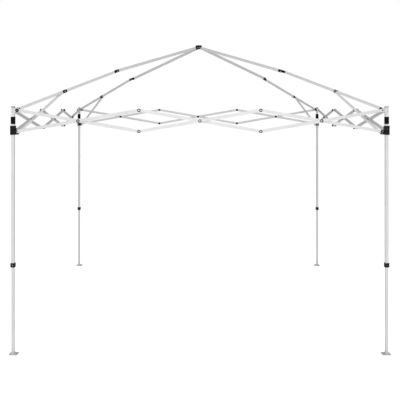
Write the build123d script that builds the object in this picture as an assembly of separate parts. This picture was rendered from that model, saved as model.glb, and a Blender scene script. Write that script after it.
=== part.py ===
from build123d import *
import os
from math import atan2, cos, degrees, hypot, radians, sin, sqrt

# Folding frame of a straight-leg pop up canopy, in millimetres, standing open.
# The origin is on the floor under the peak, +X to the right, +Y to the back and +Z up.
# The frame is a pinwheel: one corner and one side are modelled and turned four times by 90 degrees.
# A corner's own frame has its origin on the leg's axis at floor level, +X along the side that
# starts there and +Y along the side that ends there, so the peak lies on its diagonal.

# overall
LEG_SPACING = 3000.0
LEG_TOP = 1990.0
HALF = LEG_SPACING / 2
LEG_RADIUS = HALF * sqrt(2)

# legs
OUTER = 26.0
INNER = 22.0
LEG_WALL = 0.9
OUTER_BOTTOM = 700.0
INNER_TOP = 1000.0
COLLAR_SIZE = 35.0
COLLAR_HEIGHT = 33.0
CAP_SIZE = 27.0
CAP_HEIGHT = 10.0
CAP_ROUND = 2.0
CAP_PLUG = 20.0
BAND_BOTTOM = 1848.0
BAND_HEIGHT = 58.0
BAND_THICKNESS = 2.0
FOOT_SIZE = 70.0
FOOT_SHIFT = 5.0
FOOT_THICKNESS = 4.0
FOOT_ROUND = 12.0
STAKE_OFFSET = 27.0
STAKE_RADIUS = 5.0
GUSSET_SIZE = 28.0
GUSSET_HEIGHT = 12.0

# truss pivots, bars and rivets
PIVOT_OFFSET = 35.0
TRUSS_TOP = 1958.0
TRUSS_LOW = 1788.0
MODULES = 3
BAR_DEPTH = 25.0
BAR_WIDTH = 12.0
BAR_WALL = 0.7
PLANE = 7.0
EYE_CLEAR = 4.0
SPIGOT_LENGTH = 14.0
PLUG_FIT = 0.2
SHAFT_RADIUS = 4.0
HOLE_RADIUS = 4.06
WASHER_RADIUS = 12.0
BOSS_RADIUS = 14.0
SMALL_WASHER = 8.0
WASHER_HEIGHT = 2.0
HEAD_RADIUS = 6.0
HEAD_HEIGHT = 2.5
SPACER_HEIGHT = 1.6
SEAT = 0.05
STUB_INSET = 0.3
OVERCUT = 1.0

# peak arms, braces and hub, each set of four in its own plane beside the diagonal
ARM_OFFSET = 47.0
ARM_FOOT_Z = 1969.0
KNUCKLE_RADIUS = 1074.3
KNUCKLE_Z = 2314.2
HUB_PIVOT_RADIUS = 28.0
HUB_PIVOT_Z = 2598.0
LOWER_DEPTH = 20.0
UPPER_DEPTH = 24.0
ARM_WIDTH = 16.0
BRACE_DEPTH = 18.0
BRACE_WIDTH = 12.0
TUBE_WALL = 0.9
SIDE_GAP = 0.5
KNUCKLE_COLLAR = 34.0
BRACE_REACH = 459.42
BRACE_OFFSET = 42.0
BRACE_FOOT_Z = 1771.0
HUB_DISC_RADIUS = 32.0
HUB_DISC_BOTTOM = 2612.0
HUB_DISC_HEIGHT = 12.0
HUB_DISC_ROUND = 3.0
HUB_CORE = 12.0

# corner brackets, sliders and their buttons
PLATE = 4.0
BRACKET_BOTTOM = 1936.0
BRACKET_TOP = 1979.0
ARM_LUG = 6.0
LUG_ROUND = 13.0
ARM_LUG_ROUND = 10.0
BRACE_LUG_ROUND = 9.0
SLIDER_SIZE = 40.0
SLIDER_BORE = 27.0
SLIDER_BOTTOM = 1762.0
SLIDER_HEIGHT = 72.0
SLIDER_ROUND = 3.0
SLIDER_BUTTON_Z = 1806.0
SLIDER_BUTTON_RADIUS = 8.0
SLIDER_BUTTON_DEPTH = 4.0
SLIDER_BUTTON_PROUD = 2.5
SLIDER_POCKET_FLOOR = 15.0
LEG_BUTTON_RADIUS = 6.0
LEG_BUTTON_DEPTH = 3.0
LEG_BUTTON_PROUD = 1.5
LEG_POCKET_FLOOR = 14.0
POCKET_PLAY = 0.15
BUTTON_ROUND = 1.0

MODULE_PITCH = (LEG_SPACING - 2 * PIVOT_OFFSET) / MODULES
BAR_LENGTH = hypot(MODULE_PITCH, TRUSS_TOP - TRUSS_LOW)
BAR_ANGLE = degrees(atan2(TRUSS_TOP - TRUSS_LOW, MODULE_PITCH))
TRUSS_MID = (TRUSS_TOP + TRUSS_LOW) / 2
OUT_FACE = -PLANE - BAR_WIDTH / 2
IN_FACE = PLANE + BAR_WIDTH / 2
LEG_BUTTON_Z = OUTER_BOTTOM + COLLAR_HEIGHT / 2

CORNERS = ["front_left", "front_right", "back_right", "back_left"]
SIDES = ["front", "right", "back", "left"]


def place(shapes, turn):
    """Moves solids from a corner's own frame to corner number turn."""
    spot = Rot(0, 0, 90 * turn) * Pos(-HALF, -HALF, 0)
    return [spot * shape for shape in shapes]


def diagonal(offset, side, z):
    """Place on the corner's diagonal plane, with X inward along the diagonal, Y across it."""
    return Rot(0, 0, 45) * Pos(offset, side, z)


def square_tube(size, wall, bottom, top):
    """Upright square tube about the corner's own axis."""
    height = top - bottom
    outside = Box(size, size, height)
    inside = Box(size - 2 * wall, size - 2 * wall, height)
    return Pos(0, 0, bottom + height / 2) * (outside - inside)


def disc(radius, low, high):
    """Round disc along the local Y axis from y = low to y = high."""
    return Pos(0, (low + high) / 2, 0) * Rot(90, 0, 0) * Cylinder(radius, high - low)


def ring(radius, low, high):
    """Washer along the local Y axis with the standard rivet hole."""
    return disc(radius, low, high) - disc(HOLE_RADIUS, low - OVERCUT, high + OVERCUT)


def lug(reach, root, low, high, radius=LUG_ROUND):
    """Rounded ear in the XZ plane, drilled at its rounded end, running back to x = root - reach."""
    back = Pos((root - reach) / 2, 0, 0) * Box(reach - root, high - low, 2 * radius)
    ear = Pos(0, (low + high) / 2, 0) * back + disc(radius, low, high)
    return ear - disc(HOLE_RADIUS, low - OVERCUT, high + OVERCUT)


def member(length, depth, width, wall, collars=(None, None), holes=()):
    """Rectangular tube between two pivots at x = 0 and x = length, with a rounded eye plug
    in each end. collars gives the length of tube that each plug covers beyond its eye."""
    starts = [depth / 2 + EYE_CLEAR if c is None else c for c in collars]
    run = length - starts[0] - starts[1]
    centre = starts[0] + run / 2
    tube = Box(run, width, depth) - Box(run, width - 2 * wall, depth - 2 * wall)
    tube = Pos(centre, 0, 0) * tube
    for hole in holes:
        tube -= Pos(hole, 0, 0) * disc(HOLE_RADIUS, -width, width)
    solids = [tube]
    for start, turn, at in ((starts[0], 0, 0), (starts[1], 180, length)):
        eye = disc(depth / 2, -width / 2, width / 2)
        block = Pos(start / 2, 0, 0) * Box(start, width, depth)
        spigot = Box(SPIGOT_LENGTH, width - 2 * wall - PLUG_FIT, depth - 2 * wall - PLUG_FIT)
        spigot = Pos(start + SPIGOT_LENGTH / 2, 0, 0) * spigot
        plug = eye + block + spigot - disc(HOLE_RADIUS, -width, width)
        solids.append(Pos(at, 0, 0) * Rot(0, turn, 0) * plug)
    return solids


def rivet(low, high, low_washer=WASHER_RADIUS, high_washer=WASHER_RADIUS):
    """Rivet along the local Y axis that holds everything from y = low to y = high. Each end has
    a head on a washer of the given radius, a bare head for 0, or stops inside for None."""
    washers, heads, ends = [], [], []
    for face, way, washer in ((low, -1, low_washer), (high, 1, high_washer)):
        if washer is None:
            ends.append(face - way * STUB_INSET)
            continue
        seat = face + way * SEAT
        rest = face + way * WASHER_HEIGHT if washer else seat
        if washer:
            washers.append(ring(washer, *sorted((seat, rest))))
        heads.append(disc(HEAD_RADIUS, *sorted((rest, rest + way * HEAD_HEIGHT))))
        ends.append(rest)
    shaft = disc(SHAFT_RADIUS, *ends)
    for head in heads:
        shaft += head
    return washers + [shaft]


def spacer():
    """Thin washer between the two truss planes."""
    return ring(WASHER_RADIUS, -SPACER_HEIGHT / 2, SPACER_HEIGHT / 2)


def through_joint(x, z):
    """Whole truss joint: rivet through both planes with its spacer."""
    return [Pos(x, 0, z) * s for s in rivet(OUT_FACE, IN_FACE) + [spacer()]]


def half_joint(x, z, plane):
    """One bar's share of a truss joint: its own washer, head and stub."""
    if plane < 0:
        solids = rivet(OUT_FACE, OUT_FACE + BAR_WIDTH, high_washer=None)
    else:
        solids = rivet(IN_FACE - BAR_WIDTH, IN_FACE, low_washer=None)
    return [Pos(x, 0, z) * s for s in solids]


def pivot_x(number):
    """Distance of a truss pivot from the leg that the side starts at, along the side."""
    return PIVOT_OFFSET + number * MODULE_PITCH


def bar(start, slope, plane):
    """Truss bar from pivot number start to the next one, falling if slope is -1."""
    z = TRUSS_TOP if slope < 0 else TRUSS_LOW
    spot = Pos(pivot_x(start), plane, z) * Rot(0, -slope * BAR_ANGLE, 0)
    solids = member(BAR_LENGTH, BAR_DEPTH, BAR_WIDTH, BAR_WALL, holes=[BAR_LENGTH / 2])
    return [spot * solid for solid in solids]


def truss():
    """The six bars of one side, from its left leg to its right leg as seen from outside.
    Falling bars lie in the inner plane and rising bars in the outer plane."""
    falling = [bar(i, -1, PLANE) for i in range(MODULES)]
    rising = [bar(i, 1, -PLANE) for i in range(MODULES)]
    left_mid, right_mid = pivot_x(0.5), pivot_x(2.5)
    return {
        "falling_bar_1": falling[0] + through_joint(left_mid, TRUSS_MID)
        + half_joint(pivot_x(1), TRUSS_LOW, PLANE),
        "rising_bar_1": rising[0] + through_joint(pivot_x(1), TRUSS_TOP),
        "falling_bar_2": falling[1] + half_joint(pivot_x(1.5), TRUSS_MID, PLANE)
        + half_joint(pivot_x(2), TRUSS_LOW, PLANE),
        "rising_bar_2": rising[1] + half_joint(pivot_x(1.5), TRUSS_MID, -PLANE)
        + half_joint(pivot_x(1), TRUSS_LOW, -PLANE),
        "rising_bar_3": rising[2] + through_joint(right_mid, TRUSS_MID)
        + half_joint(pivot_x(2), TRUSS_LOW, -PLANE),
        "falling_bar_3": falling[2] + through_joint(pivot_x(2), TRUSS_TOP),
    }


def side_ears(z, ears_outside):
    """The two ears that carry the bars of the sides which start and end at a corner. Each ear
    fills the truss plane that its own bar leaves free: ears_outside says that the starting
    side's ear is the outer one, and then the ending side's ear is the inner one."""
    start = Pos(PIVOT_OFFSET, 0, z)
    end = Rot(0, 0, 90) * Pos(PIVOT_OFFSET, 0, z)
    start_faces, end_faces = (OUT_FACE, 0), (OUT_FACE, 0)
    if not ears_outside:
        start_faces, end_faces = (0, IN_FACE), (0, IN_FACE)
    ears = [start * lug(PIVOT_OFFSET, OUTER / 2, *start_faces)]
    ears.append(end * lug(PIVOT_OFFSET, OUTER / 2, *end_faces))
    return ears, start, end


def leg_bracket():
    """White corner bracket on the leg's two inner faces: ears for both sides' upper truss
    pivots and one for the peak arm."""
    height = BRACKET_TOP - BRACKET_BOTTOM
    mid = (BRACKET_TOP + BRACKET_BOTTOM) / 2
    reach = OUTER + PLATE
    shell = Box(reach, reach, height) - Pos(-PLATE / 2, -PLATE / 2, 0) * Box(OUTER, OUTER, height)
    bracket = Pos(PLATE / 2, PLATE / 2, mid) * shell
    ears, start, end = side_ears(TRUSS_TOP, True)
    for ear in ears:
        bracket += ear
    root = OUTER / sqrt(2)
    arm_ear = lug(ARM_OFFSET, root, 0, ARM_LUG, ARM_LUG_ROUND)
    bracket += diagonal(ARM_OFFSET, 0, ARM_FOOT_Z) * arm_ear
    bracket -= Pos(0, 0, mid) * Box(OUTER, OUTER, 2 * height)
    pins = [start * s for s in rivet(OUT_FACE, IN_FACE, BOSS_RADIUS, None)]
    pins += [end * s for s in rivet(OUT_FACE, IN_FACE, 0, 0)]
    arm_pin = rivet(-SIDE_GAP - ARM_WIDTH, ARM_LUG, SMALL_WASHER, BOSS_RADIUS)
    pins += [diagonal(ARM_OFFSET, 0, ARM_FOOT_Z) * s for s in arm_pin]
    return [bracket] + pins


def leg():
    """Outer leg tube with its top cap, wrap strap, bottom collar and corner bracket."""
    tube_top = LEG_TOP - CAP_HEIGHT
    tube = square_tube(OUTER, LEG_WALL, OUTER_BOTTOM, tube_top)
    cap = Pos(0, 0, LEG_TOP - CAP_HEIGHT / 2) * Box(CAP_SIZE, CAP_SIZE, CAP_HEIGHT)
    cap = fillet(cap.faces().sort_by(Axis.Z)[-1].edges(), CAP_ROUND)
    plug_size = OUTER - 2 * LEG_WALL - PLUG_FIT
    cap += Pos(0, 0, tube_top - CAP_PLUG / 2) * Box(plug_size, plug_size, CAP_PLUG)
    band_size = OUTER + 2 * BAND_THICKNESS
    strap = square_tube(band_size, BAND_THICKNESS, BAND_BOTTOM, BAND_BOTTOM + BAND_HEIGHT)
    wall = (COLLAR_SIZE - OUTER) / 2
    collar = square_tube(COLLAR_SIZE, wall, OUTER_BOTTOM, OUTER_BOTTOM + COLLAR_HEIGHT)
    collar -= button_pocket(COLLAR_SIZE / 2, LEG_POCKET_FLOOR, LEG_BUTTON_RADIUS, LEG_BUTTON_Z)
    return [tube, cap, strap, collar] + leg_bracket()


def button_pocket(face, floor, radius, z):
    """Round pocket for a push button in the face that looks along -X."""
    pocket = Rot(0, 90, 0) * Cylinder(radius + POCKET_PLAY, face - floor + OVERCUT)
    return Pos(-(face + floor + OVERCUT) / 2, 0, z) * pocket


def push_button(face, radius, depth, z, proud):
    """Round push button that stands proud of the face that looks along -X."""
    cap = Rot(0, -90, 0) * Cylinder(radius, depth)
    cap = fillet(cap.faces().sort_by(Axis.X)[0].edges(), BUTTON_ROUND)
    return [Pos(-(face + proud - depth / 2), 0, z) * cap]


def inner_leg():
    """Inner leg tube with its welded foot plate, drilled for a ground stake."""
    tube = square_tube(INNER, LEG_WALL, FOOT_THICKNESS, INNER_TOP)
    plate = Box(FOOT_SIZE, FOOT_SIZE, FOOT_THICKNESS)
    plate = fillet(plate.edges().filter_by(Axis.Z), FOOT_ROUND)
    plate = Pos(FOOT_SHIFT, FOOT_SHIFT, FOOT_THICKNESS / 2) * plate
    stake_hole = Cylinder(STAKE_RADIUS, 2 * FOOT_THICKNESS)
    plate -= Pos(STAKE_OFFSET, STAKE_OFFSET, FOOT_THICKNESS / 2) * stake_hole
    gusset_wall = (GUSSET_SIZE - INNER) / 2
    gusset_top = FOOT_THICKNESS + GUSSET_HEIGHT
    gusset = square_tube(GUSSET_SIZE, gusset_wall, FOOT_THICKNESS, gusset_top)
    return [tube, plate, gusset]


def slider():
    """Black slider: a square sleeve round the leg with ears for both sides' lower truss pivots
    and one for the peak arm's brace."""
    mid = SLIDER_BOTTOM + SLIDER_HEIGHT / 2
    body = Pos(0, 0, mid) * Box(SLIDER_SIZE, SLIDER_SIZE, SLIDER_HEIGHT)
    body = fillet(body.edges().filter_by(Axis.Z), SLIDER_ROUND)
    ears, start, end = side_ears(TRUSS_LOW, False)
    for ear in ears:
        body += ear
    brace_ear = lug(BRACE_OFFSET, OUTER / sqrt(2), -ARM_LUG, 0, BRACE_LUG_ROUND)
    body += diagonal(BRACE_OFFSET, 0, BRACE_FOOT_Z) * brace_ear
    body -= Pos(0, 0, mid) * Box(SLIDER_BORE, SLIDER_BORE, 2 * SLIDER_HEIGHT)
    body -= button_pocket(
        SLIDER_SIZE / 2, SLIDER_POCKET_FLOOR, SLIDER_BUTTON_RADIUS, SLIDER_BUTTON_Z)
    pins = [start * s for s in rivet(OUT_FACE, IN_FACE, 0, 0)]
    pins += [end * s for s in rivet(OUT_FACE, IN_FACE, None, 0)]
    brace_pin = rivet(-ARM_LUG, SIDE_GAP + BRACE_WIDTH, SMALL_WASHER, SMALL_WASHER)
    pins += [diagonal(BRACE_OFFSET, 0, BRACE_FOOT_Z) * s for s in brace_pin]
    return [body] + pins


def rise(from_radius, from_z, to_radius, to_z):
    """Length and angle above the horizontal of a member that runs inward on the diagonal."""
    run, height = from_radius - to_radius, to_z - from_z
    return hypot(run, height), degrees(atan2(height, run))


LOWER_LENGTH, LOWER_ANGLE = rise(LEG_RADIUS - ARM_OFFSET, ARM_FOOT_Z, KNUCKLE_RADIUS, KNUCKLE_Z)
UPPER_LENGTH, UPPER_ANGLE = rise(KNUCKLE_RADIUS, KNUCKLE_Z, HUB_PIVOT_RADIUS, HUB_PIVOT_Z)
BRACE_TOP_RADIUS = LEG_RADIUS - ARM_OFFSET - BRACE_REACH * cos(radians(LOWER_ANGLE))
BRACE_TOP_Z = ARM_FOOT_Z + BRACE_REACH * sin(radians(LOWER_ANGLE))
BRACE_LENGTH, BRACE_ANGLE = rise(
    LEG_RADIUS - BRACE_OFFSET, BRACE_FOOT_Z, BRACE_TOP_RADIUS, BRACE_TOP_Z)


def lower_arm():
    """Lower half of a peak arm, from the corner bracket to the knuckle, with the brace's rivet."""
    side = -SIDE_GAP - ARM_WIDTH / 2
    solids = member(
        LOWER_LENGTH, LOWER_DEPTH, ARM_WIDTH, TUBE_WALL, (None, KNUCKLE_COLLAR), [BRACE_REACH])
    stub = rivet(-ARM_WIDTH / 2, ARM_WIDTH / 2, SMALL_WASHER, None)
    solids += [Pos(BRACE_REACH, 0, 0) * s for s in stub]
    spot = diagonal(ARM_OFFSET, side, ARM_FOOT_Z) * Rot(0, -LOWER_ANGLE, 0)
    return [spot * s for s in solids]


def upper_arm():
    """Upper half of a peak arm, from the knuckle to the hub, with the knuckle's rivet."""
    side = SIDE_GAP + ARM_WIDTH / 2
    spot = diagonal(LEG_RADIUS - KNUCKLE_RADIUS, side, KNUCKLE_Z) * Rot(0, -UPPER_ANGLE, 0)
    solids = member(UPPER_LENGTH, UPPER_DEPTH, ARM_WIDTH, TUBE_WALL, (KNUCKLE_COLLAR, None))
    pin = rivet(-2 * SIDE_GAP - 1.5 * ARM_WIDTH, ARM_WIDTH / 2, SMALL_WASHER, SMALL_WASHER)
    return [spot * s for s in solids + pin]


def brace():
    """Brace from the slider to the lower arm, with its share of the joint at the arm."""
    side = SIDE_GAP + BRACE_WIDTH / 2
    spot = diagonal(BRACE_OFFSET, side, BRACE_FOOT_Z) * Rot(0, -BRACE_ANGLE, 0)
    solids = member(BRACE_LENGTH, BRACE_DEPTH, BRACE_WIDTH, TUBE_WALL)
    stub = rivet(-BRACE_WIDTH / 2, BRACE_WIDTH / 2, None, SMALL_WASHER)
    solids += [Pos(BRACE_LENGTH, 0, 0) * s for s in stub]
    return [spot * s for s in solids]


def hub():
    """Peak hub: a core with four ears in a pinwheel under a round cap disc."""
    body = Cylinder(HUB_DISC_RADIUS, HUB_DISC_HEIGHT)
    body = fillet(body.faces().sort_by(Axis.Z)[-1].edges(), HUB_DISC_ROUND)
    body = Pos(0, 0, HUB_DISC_BOTTOM + HUB_DISC_HEIGHT / 2) * body
    core_bottom = HUB_PIVOT_Z - UPPER_DEPTH / 2
    core_height = HUB_DISC_BOTTOM - core_bottom
    core = Box(2 * HUB_CORE, 2 * HUB_CORE, core_height)
    body += Rot(0, 0, 45) * Pos(0, 0, core_bottom + core_height / 2) * core
    pins = []
    for turn in range(4):
        spot = Rot(0, 0, 45 + 90 * turn) * Pos(-HUB_PIVOT_RADIUS, 0, HUB_PIVOT_Z)
        ear = Rot(0, 0, 180) * lug(HUB_PIVOT_RADIUS, 0, 0, HUB_CORE, ARM_LUG_ROUND)
        body += spot * ear
        pin = rivet(-HUB_CORE, SIDE_GAP + ARM_WIDTH, SMALL_WASHER, SMALL_WASHER)
        pins += [spot * s for s in pin]
    return [body] + pins


def write(name, solids):
    """Writes one node's solids to its STEP file."""
    export_step(Compound(children=solids), os.path.join("parts", name + ".step"))


def main():
    """Writes every node: the pieces of four corners and four sides, and the hub."""
    os.makedirs("parts", exist_ok=True)
    corner_pieces = {
        "outer_leg": leg(),
        "inner_leg": inner_leg(),
        "slider": slider(),
        "slider_button": push_button(
            SLIDER_SIZE / 2, SLIDER_BUTTON_RADIUS, SLIDER_BUTTON_DEPTH, SLIDER_BUTTON_Z,
            SLIDER_BUTTON_PROUD),
        "leg_button": push_button(
            COLLAR_SIZE / 2, LEG_BUTTON_RADIUS, LEG_BUTTON_DEPTH, LEG_BUTTON_Z,
            LEG_BUTTON_PROUD),
        "lower_arm": lower_arm(),
        "upper_arm": upper_arm(),
        "brace": brace(),
    }
    side_pieces = truss()
    for turn, (corner, side) in enumerate(zip(CORNERS, SIDES)):
        for piece, solids in corner_pieces.items():
            write(piece + "_" + corner, place(solids, turn))
        for piece, solids in side_pieces.items():
            write(side + "_" + piece, place(solids, turn))
    write("peak_hub", hub())


main()
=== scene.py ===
from math import acos, cos, pi, radians, sin

import bmesh
import bpy
from mathutils import Matrix, Vector


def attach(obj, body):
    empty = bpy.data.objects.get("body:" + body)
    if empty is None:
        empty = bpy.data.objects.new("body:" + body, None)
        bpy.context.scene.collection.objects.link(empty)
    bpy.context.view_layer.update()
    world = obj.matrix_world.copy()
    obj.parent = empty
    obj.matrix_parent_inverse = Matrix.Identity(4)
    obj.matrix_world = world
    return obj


# A bare white pop up canopy frame in a white studio. Everything is in metres, in the CAD frame:
# origin on the floor under the peak, +X right, +Y back, +Z up. The frame is a pinwheel, so details
# are modelled at the front left corner or on the front side and turned by 90 degrees four times.
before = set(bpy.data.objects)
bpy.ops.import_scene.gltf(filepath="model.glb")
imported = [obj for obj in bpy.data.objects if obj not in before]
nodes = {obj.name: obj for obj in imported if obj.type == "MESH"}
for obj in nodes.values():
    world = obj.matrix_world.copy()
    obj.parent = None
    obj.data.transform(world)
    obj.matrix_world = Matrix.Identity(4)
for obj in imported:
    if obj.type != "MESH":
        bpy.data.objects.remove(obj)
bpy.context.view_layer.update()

CORNERS = ["front_left", "front_right", "back_right", "back_left"]
SIDES = ["front", "right", "back", "left"]
BARS = [slope + "_bar_" + str(number) for slope in ("falling", "rising") for number in (1, 2, 3)]
MM = 0.001

# The solids of some CAD nodes, in their order. A tube always comes first, and in a bar its two
# plugs come next.
LEG_SOLIDS = ["tube", "cap", "strap", "collar", "bracket", "boss", "front_rivet", "side_rivet",
              "arm_washer", "arm_boss", "arm_rivet"]
SLIDER_SOLIDS = ["body", "front_rivet"]
INNER_LEG_SOLIDS = ["tube", "plate", "gusset"]
UPPER_ARM_SOLIDS = ["tube", "knuckle_plug", "hub_plug", "near_washer", "far_washer", "knuckle_rivet"]
TUBE = 0
BAR_SOLIDS = 3
LOWER_ARM_BRACE_WASHER = 3

# Small distances that several details share: how far a piece sinks into its neighbour, the height
# of a washer with its seat, and the gap between a moulding and the member that it covers.
TOUCH = 0.05 * MM
WASHER = 2.0 * MM
CLEAR = 0.4 * MM

# Bevels: the width on CAD nodes, the distance within which their corners are joined, and the
# angles from which an edge of a node or a piece counts as sharp.
NODE_BEVEL = 0.35 * MM
WELD = 0.004 * MM
NODE_SHARP = radians(50)
PIECE_SHARP = radians(40)

X = Vector((1, 0, 0))
Y = Vector((0, 1, 0))
Z = Vector((0, 0, 1))
ACROSS = Vector((-1, 1, 0)).normalized()


# ---------------------------------------------------------------- materials

def principled(name):
    """New material with its node tree, its main shader and its object coordinates."""
    material = bpy.data.materials.new(name)
    material.use_nodes = True
    tree = material.node_tree
    shader = tree.nodes["Principled BSDF"]
    coordinates = tree.nodes.new("ShaderNodeTexCoord").outputs["Object"]
    return material, tree, shader, coordinates


def noise(tree, coordinates, scale, detail=3.0, roughness=0.5):
    """Cloudy noise; scale counts its features per metre."""
    node = tree.nodes.new("ShaderNodeTexNoise")
    node.inputs["Scale"].default_value = scale
    node.inputs["Detail"].default_value = detail
    node.inputs["Roughness"].default_value = roughness
    tree.links.new(coordinates, node.inputs["Vector"])
    return node.outputs["Fac"]


def ramp(tree, value, low, high, first, last):
    """Colour that runs from first at low to last at high."""
    node = tree.nodes.new("ShaderNodeValToRGB")
    node.color_ramp.elements[0].position = low
    node.color_ramp.elements[1].position = high
    node.color_ramp.elements[0].color = (*first, 1)
    node.color_ramp.elements[1].color = (*last, 1)
    tree.links.new(value, node.inputs["Fac"])
    return node.outputs["Color"]


def blend(tree, amount, first, last):
    """Mixes two colour outputs by a value output."""
    node = tree.nodes.new("ShaderNodeMix")
    node.data_type = "RGBA"
    tree.links.new(amount, node.inputs["Factor"])
    tree.links.new(first, node.inputs["A"])
    tree.links.new(last, node.inputs["B"])
    return node.outputs["Result"]


def spread(tree, value, low, high, to_low, to_high):
    """Rescales a value output."""
    node = tree.nodes.new("ShaderNodeMapRange")
    ends = (("From Min", low), ("From Max", high), ("To Min", to_low), ("To Max", to_high))
    for name, number in ends:
        node.inputs[name].default_value = number
    tree.links.new(value, node.inputs["Value"])
    return node.outputs["Result"]


def bump(tree, shader, height, distance):
    """Relief of the given height in metres."""
    node = tree.nodes.new("ShaderNodeBump")
    node.inputs["Distance"].default_value = distance
    tree.links.new(height, node.inputs["Height"])
    tree.links.new(node.outputs["Normal"], shader.inputs["Normal"])


def height_above_floor(tree, coordinates):
    """Height of a point, as a value output."""
    node = tree.nodes.new("ShaderNodeSeparateXYZ")
    tree.links.new(coordinates, node.inputs["Vector"])
    return node.outputs["Z"]


def grey(value):
    """Neutral colour of the given brightness."""
    return (value, value, value)


def powder_coat(name, dark, light):
    """White powder coat: faint orange peel, uneven tone and gloss, rare scuffs, darker and browner
    towards the floor.
    """
    material, tree, shader, at = principled(name)
    coat = ramp(tree, noise(tree, at, 9.0, 4.0), 0.3, 0.7, dark, light)
    scuff = spread(tree, noise(tree, at, 55.0, 6.0, 0.7), 0.68, 0.76, 0.0, 0.5)
    worn = ramp(tree, noise(tree, at, 300.0), 0.3, 0.7, grey(0.50), grey(0.62))
    coat = blend(tree, scuff, coat, worn)
    # A darker, browner colour blended in over the lowest 9 cm of the frame, strongest at the floor.
    near_floor_colour = ramp(tree, noise(tree, at, 30.0, 5.0), 0.3, 0.7, (0.52, 0.50, 0.46), (0.70, 0.69, 0.66))
    low_down = spread(tree, height_above_floor(tree, at), 0.0, 0.09, 0.45, 0.0)
    tree.links.new(blend(tree, low_down, coat, near_floor_colour), shader.inputs["Base Color"])
    tree.links.new(spread(tree, noise(tree, at, 40.0), 0.3, 0.7, 0.34, 0.50), shader.inputs["Roughness"])
    shader.inputs["Specular IOR Level"].default_value = 0.45
    bump(tree, shader, noise(tree, at, 700.0, 2.0), 0.05 * MM)
    return material


def moulded(name, dark, light, rough, specular):
    """Moulded plastic: spark-eroded grain, scuffed lighter here and there."""
    material, tree, shader, at = principled(name)
    skin = ramp(tree, noise(tree, at, 30.0, 5.0), 0.35, 0.7, dark, light)
    rub = spread(tree, noise(tree, at, 90.0, 6.0, 0.7), 0.62, 0.75, 0.0, 0.5)
    rubbed = ramp(tree, noise(tree, at, 400.0), 0.3, 0.7, light, tuple(c * 1.6 for c in light))
    tree.links.new(blend(tree, rub, skin, rubbed), shader.inputs["Base Color"])
    uneven = spread(tree, noise(tree, at, 120.0), 0.3, 0.7, rough - 0.07, rough + 0.08)
    tree.links.new(uneven, shader.inputs["Roughness"])
    shader.inputs["Specular IOR Level"].default_value = specular
    bump(tree, shader, noise(tree, at, 2200.0, 2.0), 0.03 * MM)
    return material


def plated(name, dark, light):
    """Plated rivet steel with duller stains and fine handling marks."""
    material, tree, shader, at = principled(name)
    shader.inputs["Metallic"].default_value = 0.7
    plate = ramp(tree, noise(tree, at, 60.0, 5.0), 0.3, 0.7, dark, light)
    stain = spread(tree, noise(tree, at, 150.0, 5.0, 0.65), 0.6, 0.75, 0.0, 0.6)
    stained = tuple(c * 0.6 for c in dark)
    dull = ramp(tree, noise(tree, at, 500.0), 0.3, 0.7, stained, dark)
    tree.links.new(blend(tree, stain, plate, dull), shader.inputs["Base Color"])
    tree.links.new(spread(tree, noise(tree, at, 300.0), 0.3, 0.7, 0.3, 0.48), shader.inputs["Roughness"])
    bump(tree, shader, noise(tree, at, 1500.0, 2.0), 0.03 * MM)
    return material


def webbing():
    """Black hook-and-loop webbing: a fine weave under a fuzzy pile."""
    material, tree, shader, at = principled("black_webbing")
    weave = tree.nodes.new("ShaderNodeTexWave")
    weave.bands_direction = "Z"
    weave.inputs["Scale"].default_value = 260.0
    weave.inputs["Distortion"].default_value = 1.5
    weave.inputs["Detail Scale"].default_value = 3.0
    tree.links.new(at, weave.inputs["Vector"])
    yarn = ramp(tree, weave.outputs["Fac"], 0.2, 0.8, grey(0.002), grey(0.009))
    lint = spread(tree, noise(tree, at, 700.0, 4.0, 0.7), 0.66, 0.74, 0.0, 0.35)
    fluff = ramp(tree, noise(tree, at, 90.0), 0.3, 0.7, grey(0.02), grey(0.05))
    tree.links.new(blend(tree, lint, yarn, fluff), shader.inputs["Base Color"])
    tree.links.new(spread(tree, noise(tree, at, 60.0), 0.3, 0.7, 0.82, 0.95), shader.inputs["Roughness"])
    shader.inputs["Specular IOR Level"].default_value = 0.08
    bump(tree, shader, weave.outputs["Fac"], 0.25 * MM)
    return material


WHITE = powder_coat("white_powder_coat", grey(0.79), grey(0.85))
FOOT = powder_coat("foot_powder_coat", grey(0.66), grey(0.74))
BLACK = moulded("black_plastic", grey(0.002), grey(0.006), 0.5, 0.14)
CHARCOAL = moulded("charcoal_plastic", grey(0.016), grey(0.03), 0.5, 0.3)
GREY = moulded("grey_plastic", grey(0.30), grey(0.40), 0.5, 0.4)
ZINC = plated("zinc_rivet", grey(0.34), grey(0.50))
DARK_STEEL = plated("dark_rivet", grey(0.09), grey(0.15))
STRAP = webbing()


# ---------------------------------------------------------------- solids of the CAD nodes

def solids(mesh):
    """Polygons of each closed solid of a CAD mesh, in the order in which the solids were made."""
    numbers = {}
    spot = [numbers.setdefault(tuple(round(c / MM, 2) for c in v.co), len(numbers))
            for v in mesh.vertices]
    groups, polygons, open_edges = [], [], set()
    for polygon in mesh.polygons:
        polygons.append(polygon)
        corners = [spot[v] for v in polygon.vertices]
        for a, b in zip(corners, corners[1:] + corners[:1]):
            if a != b:
                open_edges ^= {(min(a, b), max(a, b))}
        if not open_edges:
            groups.append(polygons)
            polygons = []
    return groups


def extent(mesh, polygons):
    """Lowest and highest corner of a solid's box."""
    points = [mesh.vertices[v].co for polygon in polygons for v in polygon.vertices]
    low = Vector([min(p[i] for p in points) for i in range(3)])
    high = Vector([max(p[i] for p in points) for i in range(3)])
    return low, high


def solid_boxes(name):
    """Boxes of all the solids of a CAD node."""
    mesh = nodes[name].data
    return [extent(mesh, polygons) for polygons in solids(mesh)]


def named_boxes(name, solid_names):
    """Boxes of a CAD node's first solids, by name."""
    return dict(zip(solid_names, solid_boxes(name)))


def centre(box):
    """Middle of a box."""
    return (box[0] + box[1]) / 2


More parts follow.
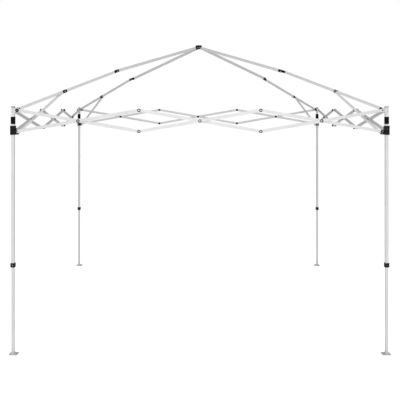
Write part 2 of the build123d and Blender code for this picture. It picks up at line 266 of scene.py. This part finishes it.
def reach(name, number, direction):
    """How far one solid of a node reaches along a direction, from its low to its high end."""
    mesh = nodes[name].data
    distances = [mesh.vertices[v].co.dot(direction)
                 for polygon in solids(mesh)[number] for v in polygon.vertices]
    return min(distances), max(distances)


def bevelled(thing, width, sharp):
    """Bevel modifier for the edges that turn by more than an angle."""
    bevel = thing.modifiers.new("bevel", "BEVEL")
    bevel.width = width
    bevel.segments = 2
    bevel.limit_method = "ANGLE"
    bevel.angle_limit = sharp


def soften(thing):
    """Small bevel on sharp edges, after joining the corners that the CAD mesh keeps apart."""
    weld = thing.modifiers.new("weld", "WELD")
    weld.merge_threshold = WELD
    bevelled(thing, NODE_BEVEL, NODE_SHARP)


def finish_node(name, materials):
    """Gives each solid of a CAD node its material, the last one standing for all that follow."""
    mesh = nodes[name].data
    mesh.materials.clear()
    for material in materials:
        mesh.materials.append(material)
    for number, polygons in enumerate(solids(mesh)):
        for polygon in polygons:
            polygon.material_index = min(number, len(materials) - 1)
    soften(nodes[name])


def finish_bar(name):
    """A truss bar's tube and end plugs, then its washers, spacers and rivets."""
    small_parts = []
    for low, high in solid_boxes(name)[BAR_SOLIDS:]:
        size = high - low
        thin = min(size.x, size.y) < WASHER + 0.5 * MM
        small_parts.append(BLACK if thin else ZINC)
    finish_node(name, [WHITE] * BAR_SOLIDS + small_parts)


# ---------------------------------------------------------------- mesh building

def lathe(profile, steps=24):
    """Closed solid turned about Z from (radius, height) points, which start and end on the axis
    or else are closed into a ring."""
    mesh = bmesh.new()
    rings = []
    for radius, height in profile:
        if radius == 0:
            rings.append([mesh.verts.new((0, 0, height))])
        else:
            turn = [2 * pi * i / steps for i in range(steps)]
            rings.append([mesh.verts.new((radius * cos(a), radius * sin(a), height)) for a in turn])
    if profile[0][0] > 0:
        rings.append(rings[0])
    for lower, upper in zip(rings, rings[1:]):
        for i in range(steps):
            j = (i + 1) % steps
            corners = [lower[i % len(lower)], lower[j % len(lower)],
                       upper[j % len(upper)], upper[i % len(upper)]]
            mesh.faces.new(list(dict.fromkeys(corners)))
    bmesh.ops.recalc_face_normals(mesh, faces=mesh.faces)
    return mesh


def slab(low, high):
    """Box between two corners, to be bevelled or joined to others."""
    mesh = bmesh.new()
    middle = (Vector(low) + Vector(high)) / 2
    size = Vector(high) - Vector(low)
    scale = Matrix.Diagonal((*size, 1))
    bmesh.ops.create_cube(mesh, size=1, matrix=Matrix.Translation(middle) @ scale)
    return mesh


def square_ring(middle, half, wall, bottom, top, lean=0.0):
    """Upright square ring about the vertical through middle; lean draws its upper edge inward."""
    mesh = bmesh.new()
    loops = []
    for side, z in ((half, bottom), (half - lean, top), (half - wall, top), (half - wall, bottom)):
        loops.append([mesh.verts.new((middle.x + x * side, middle.y + y * side, z))
                      for x, y in ((-1, -1), (1, -1), (1, 1), (-1, 1))])
    for one, two in zip(loops, loops[1:] + loops[:1]):
        for i in range(4):
            j = (i + 1) % 4
            mesh.faces.new((one[i], one[j], two[j], two[i]))
    bmesh.ops.recalc_face_normals(mesh, faces=mesh.faces)
    return mesh


def prism(outline, across, up, along, start, end):
    """Outline of (across, up) points, extruded along a third direction from start to end."""
    mesh = bmesh.new()
    loops = []
    for distance in (start, end):
        loops.append([mesh.verts.new(a * across + b * up + distance * along) for a, b in outline])
    mesh.faces.new(loops[0])
    mesh.faces.new(reversed(loops[1]))
    for i in range(len(outline)):
        j = (i + 1) % len(outline)
        mesh.faces.new((loops[0][j], loops[0][i], loops[1][i], loops[1][j]))
    bmesh.ops.recalc_face_normals(mesh, faces=mesh.faces)
    return mesh


def joined(meshes):
    """One bmesh from several."""
    whole = bmesh.new()
    for mesh in meshes:
        part = bpy.data.meshes.new("part")
        mesh.to_mesh(part)
        mesh.free()
        whole.from_mesh(part)
        bpy.data.meshes.remove(part)
    return whole


def aimed(mesh, place, normal):
    """Moves a bmesh built along Z so that its origin is at place and Z points along normal."""
    turn = Vector(normal).to_track_quat("Z", "Y").to_matrix().to_4x4()
    mesh.transform(Matrix.Translation(place) @ turn)
    return mesh


def piece(name, mesh, material, body, turn=0, bevel=0.0):
    """Object from a bmesh, turned by 90 degrees turn times, riding on a body."""
    data = bpy.data.meshes.new(name)
    mesh.to_mesh(data)
    data.transform(Matrix.Rotation(radians(90 * turn), 4, "Z"))
    data.materials.append(material)
    thing = bpy.data.objects.new(name, data)
    bpy.context.scene.collection.objects.link(thing)
    data.shade_smooth()
    if bevel:
        bevelled(thing, bevel, PIECE_SHARP)
    data.set_sharp_from_angle(angle=PIECE_SHARP)
    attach(thing, body)


def at_each_corner(name, build, material, body, bevel=0.0):
    """The same detail at all four corners, on the bodies whose names start with body."""
    for turn, corner in enumerate(CORNERS):
        piece(name + "_" + corner, build(), material, body + "_" + corner, turn, bevel)


# ---------------------------------------------------------------- details

def screw_head(radius=4.2 * MM, height=2.2 * MM):
    """Pan head with a recess in its middle."""
    socket, depth = 0.45 * radius, 0.35 * height
    profile = [(0, 0), (radius, 0), (radius, 0.35 * height), (0.9 * radius, 0.75 * height),
               (0.65 * radius, height), (socket, height), (socket, depth), (0, depth)]
    return lathe(profile, steps=12)


def cap_nut():
    """Flanged dome that covers a rivet's inner end."""
    profile = [(0, 0), (12.6 * MM, 0), (12.8 * MM, 0.8 * MM), (12.2 * MM, 1.6 * MM),
               (11.4 * MM, 6.0 * MM), (9.8 * MM, 8.2 * MM), (5.6 * MM, 9.6 * MM), (0, 10.0 * MM)]
    return lathe(profile)


def rivet_collar(radius=12.8 * MM, height=7.0 * MM):
    """Moulded collar round a rivet's outer head, higher than the head."""
    bore = 6.5 * MM
    profile = [(bore, 0), (radius, 0), (radius, 0.6 * height), (radius - 1.4 * MM, height),
               (bore + 0.8 * MM, height), (bore, height - 0.8 * MM)]
    return lathe(profile)


def rivet_places(name, way):
    """Where the washers of a front bar's rivets end: way 1 on its inner side, -1 on its outer."""
    face = way * half_depth + truss_middle
    found = []
    for low, high in solid_boxes(name)[BAR_SOLIDS:]:
        size = high - low
        end = high.y if way > 0 else low.y
        long_and_round = size.y > 10 * MM and size.x < 13 * MM
        if long_and_round and way * (end - face) > WASHER:
            middle = (low + high) / 2
            found.append(Vector((middle.x, face + way * WASHER, middle.z)))
    return found


def rivet_covers():
    """A cap nut on every truss joint's inner end and a collar round its outer head."""
    covers = (("cap_nut", cap_nut, 1), ("rivet_collar", rivet_collar, -1))
    for bar in BARS:
        for label, build, way in covers:
            for number, place in enumerate(rivet_places("front_" + bar, way)):
                for turn, side in enumerate(SIDES):
                    body = side + "_" + bar
                    cover = aimed(build(), place, (0, way, 0))
                    piece(f"{label}_{body}_{number + 1}", cover, BLACK, body, turn)


def bracket_boss():
    """Moulded boss round the outer head of the rivet in the corner bracket."""
    low, high = leg_box["boss"]
    middle = (low + high) / 2
    boss = rivet_collar((high.x - low.x) / 2, 5.5 * MM)
    return aimed(boss, (middle.x, low.y + TOUCH, middle.z), -Y)


def side_rivet_cap():
    """Cap nut on the inner end of the bracket's rivet for the side that ends at the corner."""
    low, high = leg_box["side_rivet"]
    middle = (low + high) / 2
    over_head = 2.4 * MM
    return aimed(cap_nut(), (high.x - over_head, middle.y, middle.z), X)


def slider_cheek():
    """Moulded cheek over the bar's end, just clear of it and cut out round the rivet's head."""
    low, high = slider_box["body"]
    pin = centre(slider_box["front_rivet"])
    side, edge = 2 * leg_middle.x - low.x, pin.x - 2 * MM
    height, thickness, bore, steps = 64 * MM, 3 * MM, 7.0 * MM, 8
    top = low.z + height
    outline = [(side, low.z), (edge, low.z + 2 * MM)]
    half_angle = acos((pin.x - edge) / bore)
    for i in range(steps + 1):
        angle = half_angle * (1 - 2 * i / steps)
        outline.append((pin.x - bore * cos(angle), pin.z - bore * sin(angle)))
    outline += [(edge, top - 12 * MM), (edge - 7 * MM, top), (side, top + 3 * MM)]
    face = truss_middle - half_depth - CLEAR
    return prism(outline, X, Z, Y, face - thickness, face)


def arm_saddle():
    """Moulded saddle that wraps the lower arm at the brace's rivet, open towards the brace."""
    arm = "lower_arm_front_left"
    foot, knuckle = centre(leg_box["arm_rivet"]), centre(knuckle_box)
    run = (knuckle.x + knuckle.y - foot.x - foot.y) / 2
    along = Vector((run, run, knuckle.z - foot.z)).normalized()
    up = along.cross(ACROSS)
    bottom, top = reach(arm, TUBE, up)
    outer, inner = reach(arm, TUBE, ACROSS)
    rivet = sum(reach(arm, LOWER_ARM_BRACE_WASHER, along)) / 2
    shell, half_length = 2.3 * MM, 21 * MM
    edge = inner - CLEAR
    outline = [(edge, bottom - shell), (outer - shell, bottom - shell), (outer - shell, top + shell),
               (edge, top + shell), (edge, top), (outer, top), (outer, bottom), (edge, bottom)]
    return prism(outline, ACROSS, up, along, rivet - half_length, rivet + half_length)


def strap_flap():
    """Free end of the strap, over its front and a little way round its edge."""
    low, high = leg_box["strap"]
    thickness, margin, turned_back = 1.4 * MM, 6 * MM, 14 * MM
    bottom, top = low.z + margin, high.z - margin
    flap = slab((low.x + margin, low.y - thickness, bottom), (high.x + 0.6 * MM, low.y + TOUCH, top))
    side = slab((high.x - TOUCH, low.y - thickness, bottom),
                (high.x + thickness, low.y + turned_back, top))
    return joined([flap, side])


def ring_pair(box, proud, wall, height):
    """Square rings round the lower and upper ends of a box, standing a little proud of it."""
    low, high = box
    half = leg_middle.x - low.x
    rings = []
    for bottom in (low.z, high.z - height):
        rings.append(square_ring(leg_middle, half + proud, wall, bottom, bottom + height))
    return rings


def strap_bindings():
    """Sewn bindings on the strap's two long edges."""
    return joined(ring_pair(leg_box["strap"], 0.5 * MM, 1.5 * MM, 3 * MM))


def collar_rims():
    """Moulded rims at the collar's two ends."""
    return joined(ring_pair(leg_box["collar"], 0.8 * MM, 3.0 * MM, 3.5 * MM))


def collar_screw():
    """Screw in the front of the collar."""
    low, high = leg_box["collar"]
    return aimed(screw_head(), (leg_middle.x, low.y, (low.z + high.z) / 2), -Y)


def bracket_rivets():
    """Blind rivets that hold the bracket, on the leg's two outer faces."""
    low, high = leg_box["bracket"]
    leg_low = leg_box["tube"][0]
    margin = 9 * MM
    heads = []
    for z in (low.z + margin, high.z - margin):
        heads.append(aimed(screw_head(), (leg_low.x, leg_middle.y, z), -X))
        heads.append(aimed(screw_head(), (leg_middle.x, leg_low.y, z), -Y))
    return joined(heads)


def slider_ribs():
    """Grip ribs on the slider's two outer faces and its moulded rims."""
    low = slider_box["body"][0]
    middle = leg_middle
    face = middle.x - low.x
    parts = ring_pair(slider_box["body"], 0.9 * MM, 3.0 * MM, 4 * MM)
    half_width, proud, sunk = 13 * MM, 1.2 * MM, 0.5 * MM
    first, pitch, height = 11 * MM, 6 * MM, 2.4 * MM
    for i in range(4):
        bottom = low.z + first + i * pitch
        top = bottom + height
        parts.append(slab((middle.x - half_width, middle.y - face - proud, bottom),
                          (middle.x + half_width, middle.y - face + sunk, top)))
        parts.append(slab((middle.x - face - proud, middle.y - half_width, bottom),
                          (middle.x - face + sunk, middle.y + half_width, top)))
    return joined(parts)


def foot_weld():
    """Weld beads where the leg and its gusset meet the foot plate."""
    low, high = inner_leg_box["gusset"]
    middle = (low + high) / 2
    half = middle.x - low.x
    lower = square_ring(middle, half + 2.6 * MM, 3.0 * MM, low.z - TOUCH, low.z + 2.8 * MM, 2.4 * MM)
    upper = square_ring(middle, half - 0.5 * MM, 2.8 * MM, high.z - TOUCH, high.z + 2.4 * MM, 2.0 * MM)
    return joined([lower, upper])


def hub_cap():
    """Screw and washer on top of the hub, with a raised rim round them."""
    rim = lathe([(0, 0), (13 * MM, 0), (12 * MM, 1.6 * MM), (9 * MM, 1.6 * MM), (8 * MM, 0.4 * MM),
                 (0, 0.4 * MM)], steps=40)
    head = aimed(screw_head(5.5 * MM, 3.0 * MM), 0.3 * MM * Z, Z)
    return aimed(joined([rim, head]), (0, 0, hub_top), Z)


def hub_ribs():
    """Stiffening ribs between the hub's disc and its core."""
    disc_height, height, sunk = 12 * MM, 10 * MM, 0.5 * MM
    root, tip, half_width = 16 * MM, 29 * MM, 1.5 * MM
    disc_bottom = hub_top - disc_height
    ribs = []
    for quarter in range(4):
        rib = slab((root, -half_width, disc_bottom - height), (tip, half_width, disc_bottom + sunk))
        rib.transform(Matrix.Rotation(radians(90 * quarter), 4, "Z"))
        ribs.append(rib)
    return joined(ribs)


# Places, read from the front left corner and the front side. truss_middle is the plane between
# the front side's two planes of bars, and half_depth is how far their faces are from it.
leg_box = named_boxes("outer_leg_front_left", LEG_SOLIDS)
inner_leg_box = named_boxes("inner_leg_front_left", INNER_LEG_SOLIDS)
slider_box = named_boxes("slider_front_left", SLIDER_SOLIDS)
knuckle_box = named_boxes("upper_arm_front_left", UPPER_ARM_SOLIDS)["knuckle_rivet"]
hub_top = solid_boxes("peak_hub")[0][1].z
leg_middle = centre(leg_box["tube"])
truss_middle = leg_middle.y
half_depth = solid_boxes("front_falling_bar_1")[TUBE][1].y - truss_middle

rivet_covers()
at_each_corner("bracket_boss", bracket_boss, BLACK, "outer_leg")
at_each_corner("side_rivet_cap", side_rivet_cap, BLACK, "outer_leg")
at_each_corner("slider_cheek", slider_cheek, BLACK, "slider", 0.6 * MM)
at_each_corner("arm_saddle", arm_saddle, BLACK, "lower_arm", 0.8 * MM)
at_each_corner("strap_flap", strap_flap, STRAP, "outer_leg", 0.5 * MM)
at_each_corner("strap_binding", strap_bindings, STRAP, "outer_leg", 0.4 * MM)
at_each_corner("bracket_rivets", bracket_rivets, ZINC, "outer_leg")
at_each_corner("slider_ribs", slider_ribs, BLACK, "slider", 0.5 * MM)
at_each_corner("collar_rims", collar_rims, BLACK, "outer_leg", 0.5 * MM)
at_each_corner("collar_screw", collar_screw, ZINC, "outer_leg")
at_each_corner("foot_weld", foot_weld, FOOT, "inner_leg", 0.6 * MM)
piece("hub_cap", hub_cap(), ZINC, "peak_hub")
piece("hub_ribs", hub_ribs(), BLACK, "peak_hub", bevel=0.5 * MM)


# ---------------------------------------------------------------- finishes of the CAD nodes

bracket_pins = [BLACK, DARK_STEEL, DARK_STEEL, BLACK, BLACK, DARK_STEEL]
for corner in CORNERS:
    finish_node("outer_leg_" + corner, [WHITE, GREY, STRAP, BLACK, WHITE] + bracket_pins)
    finish_node("inner_leg_" + corner, [WHITE, FOOT, FOOT])
    finish_node("slider_" + corner, [BLACK, DARK_STEEL, DARK_STEEL, BLACK, BLACK, DARK_STEEL])
    finish_node("slider_button_" + corner, [CHARCOAL])
    finish_node("leg_button_" + corner, [CHARCOAL])
    finish_node("lower_arm_" + corner, [WHITE, WHITE, BLACK, BLACK, ZINC])
    finish_node("upper_arm_" + corner, [WHITE, BLACK, BLACK, BLACK, BLACK, ZINC])
    finish_node("brace_" + corner, [WHITE, WHITE, BLACK, BLACK, ZINC])
finish_node("peak_hub", [BLACK] + [BLACK, BLACK, ZINC] * 4)
for side in SIDES:
    for bar in BARS:
        finish_bar(side + "_" + bar)


# ---------------------------------------------------------------- studio

def studio_floor():
    """Plain white floor, lit from within so that it runs into the background."""
    material, tree, shader, at = principled("white_floor")
    tree.links.new(ramp(tree, noise(tree, at, 0.4), 0.3, 0.7, grey(0.93), grey(0.95)),
                   shader.inputs["Base Color"])
    shader.inputs["Roughness"].default_value = 0.9
    shader.inputs["Specular IOR Level"].default_value = 0.1
    shader.inputs["Emission Color"].default_value = (1, 1, 1, 1)
    shader.inputs["Emission Strength"].default_value = 0.75
    mesh = bpy.data.meshes.new("studio_floor")
    edge, z = 60.0, -0.5 * MM
    mesh.from_pydata([(-edge, -edge, z), (edge, -edge, z), (edge, edge, z), (-edge, edge, z)],
                     [], [(0, 1, 2, 3)])
    mesh.materials.append(material)
    floor = bpy.data.objects.new("studio_floor", mesh)
    floor.visible_diffuse = False
    bpy.context.scene.collection.objects.link(floor)


def area_light(name, place, target, size, power):
    """Round softbox aimed at a point."""
    light = bpy.data.lights.new(name, "AREA")
    light.shape = "DISK"
    light.size = size
    light.energy = power
    lamp = bpy.data.objects.new(name, light)
    lamp.location = place
    lamp.rotation_euler = (Vector(target) - Vector(place)).to_track_quat("-Z", "Y").to_euler()
    bpy.context.scene.collection.objects.link(lamp)


def white_world(seen, lit):
    """A surround that looks fully white but lights the frame more softly."""
    world = bpy.data.worlds.new("studio")
    bpy.context.scene.world = world
    world.use_nodes = True
    tree = world.node_tree
    background = tree.nodes["Background"]
    background.inputs["Color"].default_value = (1, 1, 1, 1)
    path = tree.nodes.new("ShaderNodeLightPath")
    strength = spread(tree, path.outputs["Is Camera Ray"], 0.0, 1.0, lit, seen)
    tree.links.new(strength, background.inputs["Strength"])


def camera():
    """Level camera at leg-top height, with the picture's framing set by a small shift."""
    data = bpy.data.cameras.new("camera")
    data.lens = 59.0
    data.sensor_width = 36.0
    data.shift_x = 0.0122
    data.shift_y = -0.227
    eye = bpy.data.objects.new("camera", data)
    eye.location = (-0.038, -6.765, 1.967)
    eye.rotation_euler = (pi / 2, 0, 0)
    bpy.context.scene.collection.objects.link(eye)
    bpy.context.scene.camera = eye


studio_floor()
white_world(seen=1.0, lit=0.37)
area_light("front_softbox", (0, -9.0, 3.4), (0, 0, 1.6), size=5.0, power=345)
camera()
bpy.context.scene.view_settings.view_transform = "Standard"
